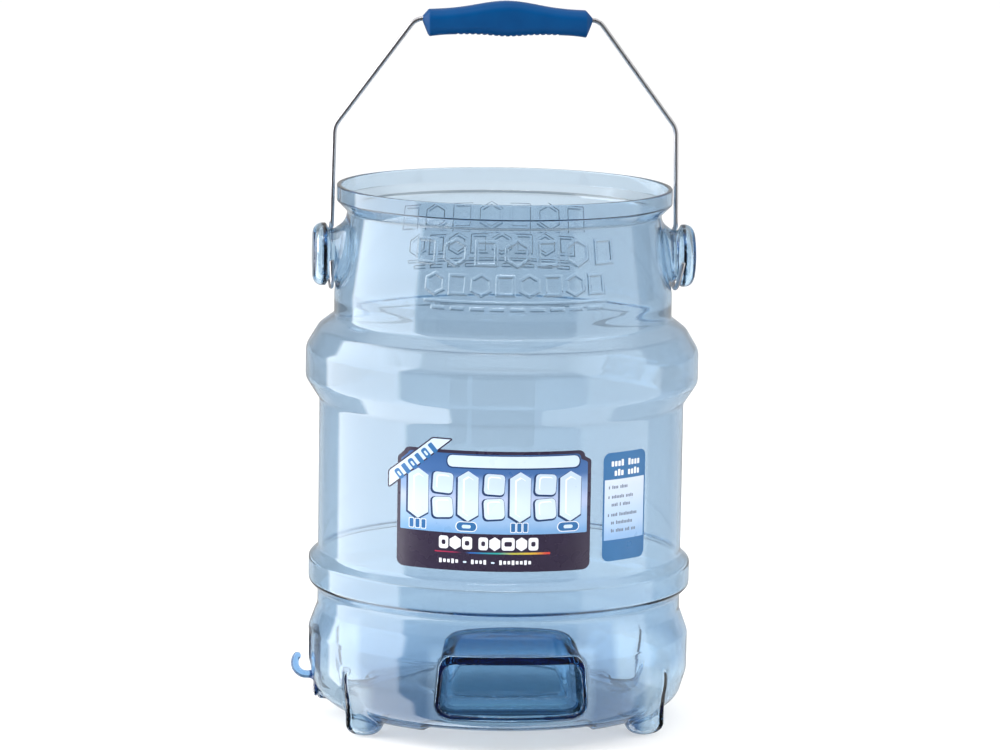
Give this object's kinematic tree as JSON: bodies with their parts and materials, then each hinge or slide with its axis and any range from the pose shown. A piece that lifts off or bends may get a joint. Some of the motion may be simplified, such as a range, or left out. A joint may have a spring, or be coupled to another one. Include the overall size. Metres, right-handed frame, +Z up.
{
  "type": "ice tote",
  "caption": "Clear open-topped ice tote with a swinging steel bail and plastic grip, moulded ears, stub feet, a low hand pocket and a side hang hook.",
  "frame": {"origin": "on the floor plane of the foot pads, on the body's own axis", "axes": "+Z up, -Y the front with the hand pocket and labels, X along the ears' common axis, the hang hook on -X"},
  "size_m": [0.2786, 0.2702, 0.4954],
  "materials": {
    "clear_blue": "clear, polished mould finish",
    "steel": "satin, drawn wire",
    "grip_plastic": "satin",
    "hook_plastic": "clear blue, polished",
    "label_film": "satin printed film"
  },
  "bodies": {
    "tote": {"tote_shell": "clear_blue", "hang_hook": "hook_plastic", "hook_rivets": "steel", "main_label": "label_film", "instruction_label": "label_film"},
    "bail": {"bail_wire": "steel"},
    "grip": {"bail_grip": "grip_plastic"}
  },
  "joints": [
    {"name": "bail_swing", "type": "hinge", "parent": "tote", "child": "bail", "pos_m": [0, 0, 0.31965], "axis": [1, 0, 0], "range_deg": [-112, 112]},
    {"name": "grip_turn", "type": "hinge", "parent": "bail", "child": "grip", "pos_m": [0, 0, 0.483], "axis": [1, 0, 0], "continuous": true}
  ]
}
